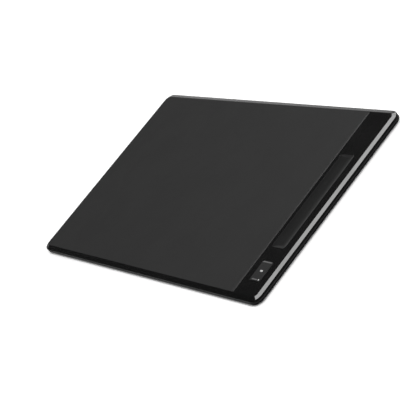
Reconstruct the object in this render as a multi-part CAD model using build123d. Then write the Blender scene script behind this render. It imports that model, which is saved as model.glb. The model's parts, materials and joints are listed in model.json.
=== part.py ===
from build123d import *

import os
from math import atan, cos, sin

# A thin, flat drawing tablet that lies on a table. X runs to the tablet's right, where the glossy
# strip with the pen rest and the rocker key is, Y runs to its back, and Z is up. The origin is
# under the middle of the tablet, at the height of the table. All sizes are in millimetres.

# Outer form
tablet_width = 350.0
tablet_depth = 202.0
corner_radius = 9.0
bevel_width = 4.0            # sloping edge round the flat top
bevel_drop = 1.4
shoulder_radius = 0.5        # round between the bevel and the side wall
crease_radius = 3.0          # wide round between the bevel and the flat top
side_wall_height = 4.4
taper_inset = 6.0            # the underside draws in below the side wall
taper_drop = 1.4
foot_proud = 0.8             # how far the feet lift the underside off the table

# Walls of the two shells
wall = 1.6
floor_thickness = 1.5
floor_edge_inset = 5.9       # from the outline to the flat part of the floor's inside
sheet_web = 0.95             # plastic under the drawing sheet
strip_web = 1.25             # plastic under the glossy strip
strip_edge_inset = 6.0       # from the outline to the thinner plastic under the strip
strip_hollow_corner = 2.0
lower_wall_height = 2.25     # part of the side wall that belongs to the bottom shell
parting_gap = 0.15
rim_chamfer = 0.35
taper_round = 0.5            # between the side wall and the taper below it
lip_thickness = 0.7
lip_height = 0.8
lip_clearance = 0.1

# Drawing sheet and the shallow valley between it and the strip
sheet_thickness = 0.85
adhesive_thickness = 0.15
adhesive_margin = 1.5
sheet_gap = 0.1
recess_land = 0.3            # narrow flat rim between the bevel and the sheet
sheet_corner = 4.0
sheet_strip_corner = 0.8
strip_width = 33.7           # from the right edge to the bottom of the valley
valley_depth = 0.35
sheet_flank_width = 1.7
strip_flank_width = 0.4

# Pen rest
pen_rest_width = 17.4
pen_rest_from_right = 20.4   # its centre line, from the right edge
pen_rest_depth = 2.4
pen_rest_bottom_width = 10.6 # the hollow part of the section, between its two rounded rims
pen_rest_corner = 3.0
pen_rest_end_slope = 1.6     # how far each end wall leans out from bottom to rim
pen_rest_from_key = 14.2     # from the key's back edge to the rest's front end
pen_rest_from_back = 50.7    # from the rest's back end to the tablet's back edge
liner_thickness = 0.8
liner_gap = 0.1
trough_wall = 0.9
pen_rest_rib_offset = 5.8    # ribs under the trough, from its centre line
opening_chamfer = 0.15       # round the pen rest's and the key's openings

# Rocker key
key_width = 13.4
key_length = 19.6
key_from_right = 18.55       # its centre, from the right edge
key_from_front = 28.2        # its centre, from the front edge
key_corner = 1.2
key_edge_round = 0.15
key_gap = 0.35
key_proud = 0.25
key_cap_thickness = 1.5
key_plate_thickness = 1.2
key_plate_length = 4.4
trunnion_radius = 0.8
trunnion_length = 1.9
trunnion_clearance = 0.06
pivot_below_strip = 0.85     # from the strip's inside face to the pivot axis
ear_gap = 0.4
ear_thickness = 1.8
ear_wall = 1.0
presser_radius = 1.0
presser_gap = 0.05
key_side_step = 0.1          # the side plates stand this far inside the cap's sides
bar_width = 1.0
bar_from_edge = 1.0          # from the key's end to the bar's centre line
bar_sunk = 0.4
bar_proud = 0.12
bar_gap = 0.03
far_bar_half_length = 5.7
near_bar_left = -4.2         # ends of the near bar, from the key's centre line
near_bar_right = 2.6
lens_length = 3.6
lens_width = 1.8
lens_flange = 0.5
lens_gap = 0.05
lens_proud = 0.05
status_lens_radius = 0.75
status_from_side = 2.35      # from the key's right side to the small lens
status_from_end = 1.4        # from the key's front end to the small lens
status_flange = 0.35
lens_flange_width = 0.5
lens_edge_round = 0.15
bar_edge_chamfer = 0.08
near_bar_shift = 0.2

# Switches under the key
switch_size = 4.5
switch_height = 1.2
switch_arm = 6.4             # from the pivot to each switch
switch_floor = 0.2
switch_lid = 0.2
switch_bore_radius = 1.6
switch_corner = 0.5
plunger_radius = 0.9
plunger_clearance = 0.05
plunger_flange_radius = 1.3
plunger_flange = 0.2
plunger_rest_lift = 0.3      # height of the plunger above the switch's floor at rest
plunger_height = 1.15
plunger_chamfer = 0.1

# Boards
sensor_board_thickness = 1.0
sensor_board_gap = 0.05
sensor_side_margin = 20.0    # from the left edge
sensor_end_margin = 15.0     # from the front and back edges
sensor_strip_margin = 16.3   # from the valley
sensor_board_corner = 2.0
shield_thickness = 0.3
shield_margin = 14.0         # bare right-hand edge of the sensor board, for its chips
foam_thickness = 0.5
rib_thickness = 1.0
rib_pitch = 34.0
small_board_thickness = 1.0
small_board_lift = 0.7       # from the floor to the underside of the two small boards
small_board_corner = 1.0
board_left_of_valley = 12.3  # left side of both small boards
key_board_right = 9.5        # from the right edge
key_board_front = 14.5       # from the front edge
key_board_back_gap = 3.0     # from the key board to the pen rest's front end
controller_board_right = 14.5
controller_board_back = 4.4  # from the back edge
controller_board_gap = 3.5   # from the pen rest's back end to the controller board

# Parts on the boards
chip_standoff = 0.1
chip_corner = 0.2
chip_leg_length = 0.8
chip_leg_width = 0.24
main_chip_width = 7.0
main_chip_depth = 9.0
main_chip_height = 1.2
main_chip_legs = 11
main_chip_pitch = 0.8
switch_chip_count = 4
switch_chip_width = 4.4
switch_chip_depth = 6.5
switch_chip_height = 0.9
switch_chip_legs = 10
switch_chip_pitch = 0.6
switch_chip_from_shield = 5.5
crystal_width = 2.5
crystal_length = 5.0
crystal_height = 0.9
crystal_corner = 0.5
crystal_edge_round = 0.2
crystal_from_right = 6.5     # from the controller board's right side
regulator_width = 6.4
regulator_depth = 3.4
regulator_height = 1.6
regulator_tab_width = 3.0
regulator_leg_width = 0.7
regulator_leg_pitch = 2.2
regulator_leg_length = 1.3
regulator_leg_thickness = 0.5
regulator_from_left = 9.0    # from the controller board's left side
regulator_past_socket = 2.0  # from the socket's inner end towards the back
small_part_width = 0.8
small_part_length = 1.6
small_part_height = 0.5
small_part_pitch = 2.4
small_parts_in_row = 6
small_part_row_gap = 3.0     # from the main chip to each row
light_length = 1.6
light_width = 0.8
light_height = 0.6

# Connectors and ribbons
ribbon_thickness = 0.3
sensor_ribbon_width = 12.0
link_ribbon_width = 8.0
ribbon_insertion = 2.0
connector_depth = 4.0
connector_height = 1.0
connector_side = 1.0
connector_edge = 0.5
sensor_ribbon_shift = 2.0    # from the middle of the controller board towards the back

# Cable socket in the back edge
socket_from_right = 25.0
socket_width = 8.94
socket_height = 3.26
socket_length = 7.4
socket_sheet = 0.3
socket_clearance = 0.15
socket_setback = 0.35        # from the outer wall to the socket's mouth
socket_above_board = 0.7     # from the board's upper face to the socket's centre
tongue_width = 6.7
tongue_thickness = 0.7
tongue_length = 4.6
contact_count = 12
contact_pitch = 0.5
contact_width = 0.25
contact_thickness = 0.08
contact_length = 3.6
tongue_root = 1.6            # thickness of the block that holds the tongue
tongue_corner = 0.3
block_clearance = 0.02
socket_end_clearance = 0.3
board_notch_clearance = 0.2

# Screws and feet
screw_inset = 9.2            # shell screws, from the front, back, left and right edges
screw_columns = 4
screw_head_radius = 1.9
screw_head_height = 0.9
screw_shank_radius = 0.95
screw_shank_length = 3.6
screw_recess_radius = 2.2
screw_recess_depth = 1.1
screw_hole_clearance = 0.2
pilot_clearance = 0.03
boss_radius = 2.3
lower_boss_radius = 3.1
lower_boss_lift = 1.1        # from the floor to the face where the two bosses meet
board_screw_head_radius = 1.3
board_screw_head_height = 0.6
board_screw_radius = 0.6
board_screw_length = 2.5
board_screw_inset = 2.6
board_hole_clearance = 0.15
screw_head_round = 0.5
screw_tip_chamfer = 0.4
board_screw_head_round = 0.3
board_boss_wall = 0.7        # round the head of a board screw
pilot_extra = 0.3            # how much deeper a pilot hole is than its screw
drive_recess_width = 0.45
drive_recess_span = 1.2      # of the head's radius
drive_recess_depth = 0.35
foot_length = 28.0
foot_width = 8.0
foot_sunk = 0.4
foot_gap = 0.1
foot_edge_round = 0.25
foot_from_side = 38.0
foot_from_end = 14.0
label_recess_width = 70.0
label_recess_depth = 28.0
label_recess_sunk = 0.2
label_recess_corner = 2.0
overlap = 0.2                # how far a rib or a post reaches into what it grows out of
round_end_trim = 0.01        # a round end's radius is this much less than half its width
level_tolerance = 0.01       # how near a height an edge has to be to count as lying at it

# Heights, all worked out from the sizes above
base_z = foot_proud
wall_bottom_z = base_z + taper_drop
wall_top_z = wall_bottom_z + side_wall_height
top_z = wall_top_z + bevel_drop
floor_z = base_z + floor_thickness
rim_z = wall_bottom_z + lower_wall_height
cover_edge_z = rim_z + parting_gap
sheet_seat_z = top_z - sheet_thickness - adhesive_thickness
sheet_web_z = sheet_seat_z - sheet_web
strip_web_z = top_z - strip_web
sensor_top_z = sheet_web_z - sensor_board_gap
sensor_bottom_z = sensor_top_z - sensor_board_thickness
shield_bottom_z = sensor_bottom_z - shield_thickness
foam_bottom_z = shield_bottom_z - foam_thickness
board_bottom_z = floor_z + small_board_lift
board_top_z = board_bottom_z + small_board_thickness
trough_floor_z = top_z - pen_rest_depth - liner_thickness
pivot_z = strip_web_z - pivot_below_strip
key_top_z = top_z + key_proud
key_under_z = key_top_z - key_cap_thickness
plunger_bottom_z = board_top_z + switch_floor + plunger_rest_lift
plunger_top_z = plunger_bottom_z + plunger_height
socket_z = board_top_z + socket_above_board
boss_meet_z = floor_z + lower_boss_lift

# Places in plan
right_x = tablet_width / 2
back_y = tablet_depth / 2
valley_x = right_x - strip_width
pen_rest_x = right_x - pen_rest_from_right
key_x = right_x - key_from_right
key_y = key_from_front - back_y
pen_rest_front_y = key_y + key_length / 2 + pen_rest_from_key
pen_rest_back_y = back_y - pen_rest_from_back
sensor_left_x = sensor_side_margin - right_x
sensor_right_x = valley_x - sensor_strip_margin
sensor_back_y = back_y - sensor_end_margin
shield_right_x = sensor_right_x - shield_margin
board_left_x = valley_x - board_left_of_valley
key_board_right_x = right_x - key_board_right
key_board_front_y = key_board_front - back_y
key_board_back_y = pen_rest_front_y - key_board_back_gap
controller_right_x = right_x - controller_board_right
controller_front_y = pen_rest_back_y + controller_board_gap
controller_back_y = back_y - controller_board_back
socket_x = right_x - socket_from_right
socket_mouth_y = back_y - socket_setback
socket_back_y = socket_mouth_y - socket_length


def plate(x_low, x_high, y_low, y_high, z_low, z_high, radius=0.0):
    """A flat block between these limits, with its upright corners rounded."""
    width = x_high - x_low
    depth = y_high - y_low
    outline = RectangleRounded(width, depth, radius) if radius > 0 else Rectangle(width, depth)
    block = extrude(outline, amount=z_high - z_low)
    return Pos((x_low + x_high) / 2, (y_low + y_high) / 2, z_low) * block


def post(x, y, radius, z_low, z_high):
    """An upright round post between two heights."""
    return Pos(x, y, z_low) * extrude(Circle(radius), amount=z_high - z_low)


def outline_at(inset, z):
    """The tablet's outline in plan, drawn in by inset, at height z."""
    width = tablet_width - 2 * inset
    depth = tablet_depth - 2 * inset
    return Pos(0, 0, z) * RectangleRounded(width, depth, corner_radius - inset)


def outline_band(inset, z_low, z_high):
    """The drawn-in outline raised straight up between two heights."""
    return extrude(outline_at(inset, z_low), amount=z_high - z_low)


def outline_slope(low_inset, z_low, high_inset, z_high):
    """A slab whose four sides lean from one drawn-in outline to another."""
    return loft([outline_at(low_inset, z_low), outline_at(high_inset, z_high)], ruled=True)


def section_along_y(points, y_low, y_high):
    """A section given by X and Z points, carried along Y."""
    face = make_face(Polyline([(x, 0, z) for x, z in points], close=True))
    return Pos(0, y_low, 0) * extrude(face, amount=y_high - y_low, dir=(0, 1, 0))


def edges_at(shape, z):
    """The edges of a shape that lie level at height z."""
    return shape.edges().filter_by_position(Axis.Z, z - level_tolerance, z + level_tolerance)


def rim_edges(shape, x, y, width, depth):
    """The edges at the height of the flat top that lie round an opening centred at x, y."""
    near = edges_at(shape, top_z).filter_by_position(Axis.X, x - width / 2, x + width / 2)
    return near.filter_by_position(Axis.Y, y - depth / 2, y + depth / 2)


def join(pieces):
    """One solid out of several that touch or overlap."""
    return Part() + pieces


def screw_places():
    """Centres of the shell screws: evenly spaced columns in a front and a back row."""
    first_x = screw_inset - right_x
    step = (tablet_width - 2 * screw_inset) / (screw_columns - 1)
    row_y = back_y - screw_inset
    return [(first_x + i * step, y) for i in range(screw_columns) for y in (-row_y, row_y)]


def key_board_screw_places():
    """Three corners of the key board; the link ribbon's connector has the fourth."""
    low_x = board_left_x + board_screw_inset
    high_x = key_board_right_x - board_screw_inset
    low_y = key_board_front_y + board_screw_inset
    high_y = key_board_back_y - board_screw_inset
    return [(low_x, low_y), (high_x, low_y), (high_x, high_y)]


def controller_screw_places():
    """Three corners of the controller board."""
    low_x = board_left_x + board_screw_inset
    high_x = controller_right_x - board_screw_inset
    low_y = controller_front_y + board_screw_inset
    high_y = controller_back_y - board_screw_inset
    return [(high_x, low_y), (high_x, high_y), (low_x, high_y)]


def foot_places():
    """Name and centre of each foot: a row of three along the front and one along the back."""
    side_x = right_x - foot_from_side
    end_y = back_y - foot_from_end
    columns = [("left", -side_x), ("middle", 0.0), ("right", side_x)]
    rows = [("front", -end_y), ("back", end_y)]
    return [(f"foot_{row}_{column}", x, y) for row, y in rows for column, x in columns]


def socket_outline(grow):
    """The socket's round-ended outline, grown all round, standing across Y at the origin."""
    height = socket_height + 2 * grow
    return Plane.XZ * SlotOverall(socket_width + 2 * grow, height)


def socket_block(grow, y_low, y_high):
    """The socket's outline carried along Y between two limits, at the socket's place."""
    bar = extrude(socket_outline(grow), amount=y_high - y_low, dir=(0, 1, 0))
    return Pos(socket_x, y_low, socket_z) * bar


def pen_rest_hollow():
    """The space that the pen lies in.

    Its section is a round bottom that runs smoothly into two rounded rims. Both arcs turn
    through the same angle, so the depth is the half width times the tangent of half that angle.
    The ends are walls that lean out towards the rim, with rounded corners in plan.
    """
    half_width = pen_rest_width / 2
    bottom_half = pen_rest_bottom_width / 2
    rim_half = half_width - bottom_half
    angle = 2 * atan(pen_rest_depth / half_width)
    bottom_radius = bottom_half / sin(angle)
    rim_radius = rim_half / sin(angle)
    join_drop = rim_radius * (1 - cos(angle))
    half_angle_x = rim_radius * sin(angle / 2)
    half_angle_drop = rim_radius * (1 - cos(angle / 2))
    left_rim = ThreePointArc((-half_width, 0), (-half_width + half_angle_x, -half_angle_drop),
                             (-bottom_half, -join_drop))
    bottom = ThreePointArc((-bottom_half, -join_drop), (0, -pen_rest_depth), (bottom_half, -join_drop))
    right_rim = ThreePointArc((bottom_half, -join_drop), (half_width - half_angle_x, -half_angle_drop),
                              (half_width, 0))
    lid = Polyline((half_width, 0), (half_width, overlap), (-half_width, overlap), (-half_width, 0))
    section = Plane.XZ * make_face([left_rim, bottom, right_rim, lid])
    length = pen_rest_back_y - pen_rest_front_y
    trough = Pos(0, -length / 2 - overlap, 0) * extrude(section, amount=length + 2 * overlap, dir=(0, 1, 0))
    lean = pen_rest_end_slope / pen_rest_depth
    deep = pen_rest_depth + overlap
    low_length = length - 2 * lean * deep
    high_length = length + 2 * lean * overlap
    low = Pos(0, 0, -deep) * RectangleRounded(pen_rest_width, low_length, pen_rest_corner)
    high = Pos(0, 0, overlap) * RectangleRounded(pen_rest_width, high_length, pen_rest_corner)
    middle_y = (pen_rest_front_y + pen_rest_back_y) / 2
    return Pos(pen_rest_x, middle_y, top_z) * (trough & loft([low, high], ruled=True))


def pen_rest_plan(grow, z_low, z_high):
    """The pen rest's rounded rectangle in plan, grown all round, between two heights."""
    half = pen_rest_width / 2 + grow
    return plate(pen_rest_x - half, pen_rest_x + half, pen_rest_front_y - grow, pen_rest_back_y + grow,
                 z_low, z_high, pen_rest_corner + grow)


def sheet_plan(shrink, z_low, z_high):
    """The drawing sheet's outline: round corners on the left, small ones by the strip."""
    left = recess_land + bevel_width - right_x + shrink
    right = valley_x - shrink
    end = back_y - bevel_width - recess_land - shrink
    block = plate(left, right, -end, end, z_low, z_high)
    upright = block.edges().filter_by(Axis.Z)
    block = fillet(upright.group_by(Axis.X)[0], sheet_corner)
    upright = block.edges().filter_by(Axis.Z)
    return fillet(upright.group_by(Axis.X)[-1], sheet_strip_corner)


def drive_recess(x, y, low_z, head_radius):
    """A cross-shaped driver recess whose lower end is at low_z."""
    half = head_radius * drive_recess_span / 2
    thin = drive_recess_width / 2
    high_z = low_z + drive_recess_depth
    along = plate(x - half, x + half, y - thin, y + thin, low_z, high_z)
    across = plate(x - thin, x + thin, y - half, y + half, low_z, high_z)
    return along + across


def shell_screw(x, y):
    """A pan-head screw, driven upwards from the underside."""
    head_z = base_z + screw_recess_depth
    head = post(x, y, screw_head_radius, head_z - screw_head_height, head_z)
    head = fillet(edges_at(head, head_z - screw_head_height), screw_head_round)
    shank = post(x, y, screw_shank_radius, head_z, head_z + screw_shank_length)
    shank = chamfer(edges_at(shank, head_z + screw_shank_length), screw_tip_chamfer)
    low_z = head_z - screw_head_height
    return head + shank - drive_recess(x, y, low_z, screw_head_radius)


def board_screw(x, y):
    """A small screw, driven downwards through a board into the floor."""
    head = post(x, y, board_screw_head_radius, board_top_z, board_top_z + board_screw_head_height)
    high_z = board_top_z + board_screw_head_height
    head = fillet(edges_at(head, high_z), board_screw_head_round)
    shank = post(x, y, board_screw_radius, board_top_z - board_screw_length, board_top_z)
    return head + shank - drive_recess(x, y, high_z - drive_recess_depth, board_screw_head_radius)


def make_top_cover():
    """Upper shell: bevel, strip, recess for the sheet, pen-rest trough and the key's ears."""
    band = outline_band(0, cover_edge_z, wall_top_z)
    cover = band + outline_slope(0, wall_top_z, bevel_width, top_z)
    cover = fillet(edges_at(cover, wall_top_z), shoulder_radius)
    cover = fillet(edges_at(cover, top_z), crease_radius)
    cover -= outline_band(wall, cover_edge_z, sheet_web_z)
    rebate_inset = wall - lip_thickness - lip_clearance
    cover -= outline_band(rebate_inset, cover_edge_z, rim_z + lip_height + lip_clearance)
    strip_x = right_x - strip_edge_inset
    strip_y = back_y - strip_edge_inset
    cover -= plate(valley_x + sheet_corner, strip_x, -strip_y, strip_y, sheet_web_z, strip_web_z,
                   strip_hollow_corner)
    cover -= sheet_plan(0, sheet_seat_z, top_z)
    low_x = valley_x + sheet_gap
    past_x = valley_x - overlap
    flank = [(past_x, top_z - valley_depth), (low_x, top_z - valley_depth),
             (low_x + strip_flank_width, top_z), (past_x, top_z)]
    flank_y = back_y - bevel_width - recess_land
    cover -= section_along_y(flank, -flank_y, flank_y)
    for x, y in screw_places():
        cover += post(x, y, boss_radius, boss_meet_z, strip_web_z)
    cover += pen_rest_plan(liner_gap + trough_wall, trough_floor_z - trough_wall, strip_web_z)
    cover -= pen_rest_plan(liner_gap, trough_floor_z, top_z)
    for x, y in screw_places():
        pilot_top = base_z + screw_recess_depth + screw_shank_length + pilot_extra
        cover -= post(x, y, screw_shank_radius + pilot_clearance, boss_meet_z, pilot_top)
    half_width = key_width / 2 + key_gap
    half_length = key_length / 2 + key_gap
    cover -= plate(key_x - half_width, key_x + half_width, key_y - half_length, key_y + half_length,
                   strip_web_z, top_z, key_corner + key_gap)
    ear_low_z = pivot_z - trunnion_radius - ear_wall
    for side in (-1, 1):
        inner = key_x + side * (key_width / 2 - key_side_step + ear_gap)
        outer = inner + side * ear_thickness
        half = key_plate_length / 2
        cover += plate(min(inner, outer), max(inner, outer), key_y - half, key_y + half,
                       ear_low_z, strip_web_z + overlap)
    bore = Rot(0, 90, 0) * Cylinder(trunnion_radius + trunnion_clearance, key_width + 4 * ear_thickness)
    cover -= Pos(key_x, key_y, pivot_z) * bore
    cover -= socket_block(socket_clearance, socket_back_y - socket_end_clearance, back_y + overlap)
    rest_y = (pen_rest_front_y + pen_rest_back_y) / 2
    rest_length = pen_rest_back_y - pen_rest_front_y
    around = 3 * key_gap
    rims = rim_edges(cover, pen_rest_x, rest_y, pen_rest_width + around, rest_length + around)
    rims += rim_edges(cover, key_x, key_y, key_width + around, key_length + around)
    return chamfer(rims, opening_chamfer)


def make_bottom_cover():
    """Lower shell: tapered floor, side wall, lip, ribs, bosses and recesses for feet and screws."""
    cover = outline_slope(taper_inset, base_z, 0, wall_bottom_z)
    cover += outline_band(0, wall_bottom_z, rim_z)
    cover = chamfer(edges_at(cover, rim_z), rim_chamfer)
    cover = fillet(edges_at(cover, wall_bottom_z), taper_round)
    inner_rise = taper_drop * (floor_edge_inset - wall) / taper_inset
    cover -= outline_slope(floor_edge_inset, floor_z, wall, floor_z + inner_rise)
    cover -= outline_band(wall, floor_z + inner_rise, rim_z)
    lip = outline_band(wall - lip_thickness, rim_z - overlap, rim_z + lip_height)
    cover += lip - outline_band(wall, rim_z - overlap, rim_z + lip_height)
    cover += make_ribs()
    for x, y in screw_places():
        cover += post(x, y, lower_boss_radius, floor_z - overlap, boss_meet_z)
    for x, y in key_board_screw_places() + controller_screw_places():
        boss = board_screw_head_radius + board_boss_wall
        cover += post(x, y, boss, floor_z - overlap, board_bottom_z)
    cover -= cover_cuts()
    return cover


def make_ribs():
    """A lattice of ribs under the foam, and low ribs under the pen rest's trough."""
    low_z = floor_z - overlap
    end_y = sensor_back_y - rib_thickness
    span_x = shield_right_x - sensor_left_x
    span_y = 2 * end_y
    count_x = int(span_x // rib_pitch)
    count_y = int(span_y // rib_pitch)
    ribs = []
    for i in range(count_x + 1):
        x = sensor_left_x + rib_thickness + i * (span_x - 2 * rib_thickness) / count_x
        ribs.append(plate(x - rib_thickness / 2, x + rib_thickness / 2, -end_y, end_y,
                          low_z, foam_bottom_z))
    for i in range(count_y + 1):
        y = -end_y + i * span_y / count_y
        ribs.append(plate(sensor_left_x, shield_right_x, y - rib_thickness / 2, y + rib_thickness / 2,
                          low_z, foam_bottom_z))
    rest_z = trough_floor_z - trough_wall
    for side in (-1, 1):
        x = pen_rest_x + side * pen_rest_rib_offset
        ribs.append(plate(x - rib_thickness / 2, x + rib_thickness / 2,
                          pen_rest_front_y + pen_rest_corner, pen_rest_back_y - pen_rest_corner,
                          low_z, rest_z))
    return join(ribs)


def cover_cuts():
    """Everything that is cut out of the lower shell after its bosses and ribs are in place."""
    head_z = base_z + screw_recess_depth
    cuts = []
    for x, y in screw_places():
        cuts.append(post(x, y, screw_recess_radius, base_z, head_z))
        cuts.append(post(x, y, screw_shank_radius + screw_hole_clearance, head_z, boss_meet_z))
    for x, y in key_board_screw_places() + controller_screw_places():
        pilot_low = board_top_z - board_screw_length - pilot_clearance
        cuts.append(post(x, y, board_screw_radius + pilot_clearance, pilot_low, board_bottom_z))
    for _, x, y in foot_places():
        half_length = foot_length / 2 + foot_gap
        half_width = foot_width / 2 + foot_gap
        cuts.append(plate(x - half_length, x + half_length, y - half_width, y + half_width,
                          base_z, base_z + foot_sunk, half_width - round_end_trim))
    half_width = label_recess_width / 2
    half_depth = label_recess_depth / 2
    cuts.append(plate(-half_width, half_width, -half_depth, half_depth,
                      base_z, base_z + label_recess_sunk, label_recess_corner))
    cuts.append(socket_block(socket_clearance, socket_back_y - socket_end_clearance, back_y + overlap))
    return cuts


def make_drawing_sheet():
    """The matt sheet that the pen draws on, with a sloping edge towards the strip."""
    sheet = sheet_plan(sheet_gap, top_z - sheet_thickness, top_z)
    edge_x = valley_x - sheet_gap
    past_x = valley_x + sheet_gap
    flank = [(edge_x - sheet_flank_width, top_z), (past_x, top_z),
             (past_x, top_z - valley_depth), (edge_x, top_z - valley_depth)]
    return sheet - section_along_y(flank, -back_y, back_y)


def make_sheet_adhesive():
    """The adhesive film under the drawing sheet."""
    return sheet_plan(sheet_gap + adhesive_margin, sheet_seat_z, sheet_seat_z + adhesive_thickness)


def make_pen_rest_liner():
    """The soft insert that fills the trough, with the hollow for the pen in its top."""
    return pen_rest_plan(0, trough_floor_z, top_z) - pen_rest_hollow()


def make_sensor_board():
    """The large board under the drawing sheet that finds the pen."""
    return plate(sensor_left_x, sensor_right_x, -sensor_back_y, sensor_back_y,
                 sensor_bottom_z, sensor_top_z, sensor_board_corner)


def make_shield_plate():
    """Thin steel sheet against the underside of the sensor board."""
    return plate(sensor_left_x, shield_right_x, -sensor_back_y, sensor_back_y,
                 shield_bottom_z, sensor_bottom_z, sensor_board_corner)


def make_foam_layer():
    """Foam between the ribs and the steel sheet."""
    return plate(sensor_left_x, shield_right_x, -sensor_back_y, sensor_back_y,
                 foam_bottom_z, shield_bottom_z, sensor_board_corner)


def chip(x, y, z, width, depth, height, legs, pitch, upside_down=False):
    """A chip with a row of flat legs along its two long sides; the list holds each solid."""
    sign = -1 if upside_down else 1
    low, high = sorted((z + sign * chip_standoff, z + sign * height))
    body = plate(x - width / 2, x + width / 2, y - depth / 2, y + depth / 2, low, high)
    solids = [chamfer(body.edges().filter_by(Axis.Z), chip_corner)]
    leg_low, leg_high = sorted((z, z + sign * height / 2))
    first = y - (legs - 1) * pitch / 2
    half = chip_leg_width / 2
    for i in range(legs):
        leg_y = first + i * pitch
        for side in (-1, 1):
            near, far = sorted((x + side * width / 2, x + side * (width / 2 + chip_leg_length)))
            solids.append(plate(near, far, leg_y - half, leg_y + half, leg_low, leg_high))
    return solids


def main_chip_place():
    """Centre of the main chip: half way between the ribbon's end of the board and the socket."""
    x = (board_left_x + controller_right_x) / 2
    y = (controller_front_y + socket_back_y) / 2
    return x, y


def make_microcontroller():
    """The controller's main chip."""
    x, y = main_chip_place()
    return chip(x, y, board_top_z, main_chip_width, main_chip_depth, main_chip_height,
                main_chip_legs, main_chip_pitch)


def make_analog_switches():
    """Chips in a row under the bare edge of the sensor board, evenly spaced."""
    x = shield_right_x + switch_chip_from_shield
    step = 2 * sensor_back_y / (switch_chip_count + 1)
    solids = []
    for i in range(switch_chip_count):
        y = -sensor_back_y + (i + 1) * step
        solids += chip(x, y, sensor_bottom_z, switch_chip_width, switch_chip_depth, switch_chip_height,
                       switch_chip_legs, switch_chip_pitch, upside_down=True)
    return solids


def make_crystal():
    """The flat metal can that keeps the controller's time."""
    x = controller_right_x - crystal_from_right
    _, y = main_chip_place()
    half_width = crystal_width / 2
    half_length = crystal_length / 2
    high_z = board_top_z + crystal_height
    can = plate(x - half_width, x + half_width, y - half_length, y + half_length,
                board_top_z, high_z, crystal_corner)
    return fillet(edges_at(can, high_z), crystal_edge_round)


def make_voltage_regulator():
    """The small power chip beside the socket, with one wide leg and three narrow ones."""
    x = board_left_x + regulator_from_left
    y = socket_back_y + regulator_past_socket
    z = board_top_z
    half_width = regulator_width / 2
    half_depth = regulator_depth / 2
    leg_z = z + regulator_leg_thickness
    leg_end = half_depth + regulator_leg_length
    solids = [plate(x - half_width, x + half_width, y - half_depth, y + half_depth,
                    z + chip_standoff, z + regulator_height)]
    tab = regulator_tab_width / 2
    solids.append(plate(x - tab, x + tab, y + half_depth, y + leg_end, z, leg_z))
    for i in (-1, 0, 1):
        leg_x = x + i * regulator_leg_pitch
        half = regulator_leg_width / 2
        solids.append(plate(leg_x - half, leg_x + half, y - leg_end, y - half_depth, z, leg_z))
    return solids


def make_small_components():
    """A row of small resistors and capacitors on each side of the main chip."""
    middle_x, middle_y = main_chip_place()
    high_z = board_top_z + small_part_height
    half = small_part_width / 2
    row_near = main_chip_depth / 2 + small_part_row_gap
    row_far = row_near + small_part_length
    first_x = middle_x - (small_parts_in_row - 1) * small_part_pitch / 2
    solids = []
    for i in range(small_parts_in_row):
        x = first_x + i * small_part_pitch
        solids.append(plate(x - half, x + half, middle_y - row_far, middle_y - row_near, board_top_z, high_z))
        solids.append(plate(x - half, x + half, middle_y + row_near, middle_y + row_far, board_top_z, high_z))
    return solids


def small_board(right, front, back):
    """One of the two small boards, with its corners rounded."""
    return plate(board_left_x, right, front, back, board_bottom_z, board_top_z, small_board_corner)


def make_controller_board():
    """Board at the back of the strip; the socket sits in a notch in its edge."""
    board = small_board(controller_right_x, controller_front_y, controller_back_y)
    half = socket_width / 2 + board_notch_clearance
    board -= plate(socket_x - half, socket_x + half, socket_back_y - board_notch_clearance, back_y,
                   board_bottom_z, board_top_z)
    for x, y in controller_screw_places():
        board -= post(x, y, board_screw_radius + board_hole_clearance, board_bottom_z, board_top_z)
    return board


def make_key_board():
    """Board under the rocker key, with its two switches and its lights."""
    board = small_board(key_board_right_x, key_board_front_y, key_board_back_y)
    for x, y in key_board_screw_places():
        board -= post(x, y, board_screw_radius + board_hole_clearance, board_bottom_z, board_top_z)
    return board


def slot_height(low_z):
    """The middle of a connector that stands on low_z."""
    return low_z + connector_height / 2


def sensor_connector_z():
    """The underside of the connector that hangs from the sensor board."""
    return sensor_bottom_z - connector_height


def sensor_ribbon_y():
    """The middle of the sensor ribbon, beside the controller board."""
    return (controller_front_y + controller_back_y) / 2 + sensor_ribbon_shift


def link_ribbon_x():
    """The middle of the ribbon between the two small boards."""
    return board_left_x + connector_side + link_ribbon_width / 2 + connector_edge


def ribbon_slot(block, x_low, x_high, y_low, y_high, z):
    """A connector block with the slot that its ribbon goes into."""
    half = ribbon_thickness / 2
    return block - plate(x_low, x_high, y_low, y_high, z - half, z + half)


def make_sensor_connector():
    """Connector under the right-hand edge of the sensor board."""
    half = sensor_ribbon_width / 2
    y = sensor_ribbon_y()
    right = sensor_right_x - connector_edge
    low_z = sensor_connector_z()
    block = plate(right - connector_depth, right, y - half - connector_side, y + half + connector_side,
                  low_z, sensor_bottom_z)
    return ribbon_slot(block, right - ribbon_insertion, right, y - half, y + half, slot_height(low_z))


def make_controller_connectors():
    """Two connectors on the controller board: for the sensor ribbon and for the link ribbon."""
    low_z = board_top_z
    high_z = low_z + connector_height
    slot_z = slot_height(low_z)
    half = sensor_ribbon_width / 2
    y = sensor_ribbon_y()
    left = board_left_x + connector_edge
    first = plate(left, left + connector_depth, y - half - connector_side, y + half + connector_side,
                  low_z, high_z)
    first = ribbon_slot(first, left, left + ribbon_insertion, y - half, y + half, slot_z)
    half = link_ribbon_width / 2
    x = link_ribbon_x()
    front = controller_front_y + connector_edge
    second = plate(x - half - connector_side, x + half + connector_side, front, front + connector_depth,
                   low_z, high_z)
    second = ribbon_slot(second, x - half, x + half, front, front + ribbon_insertion, slot_z)
    return [first, second]


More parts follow.
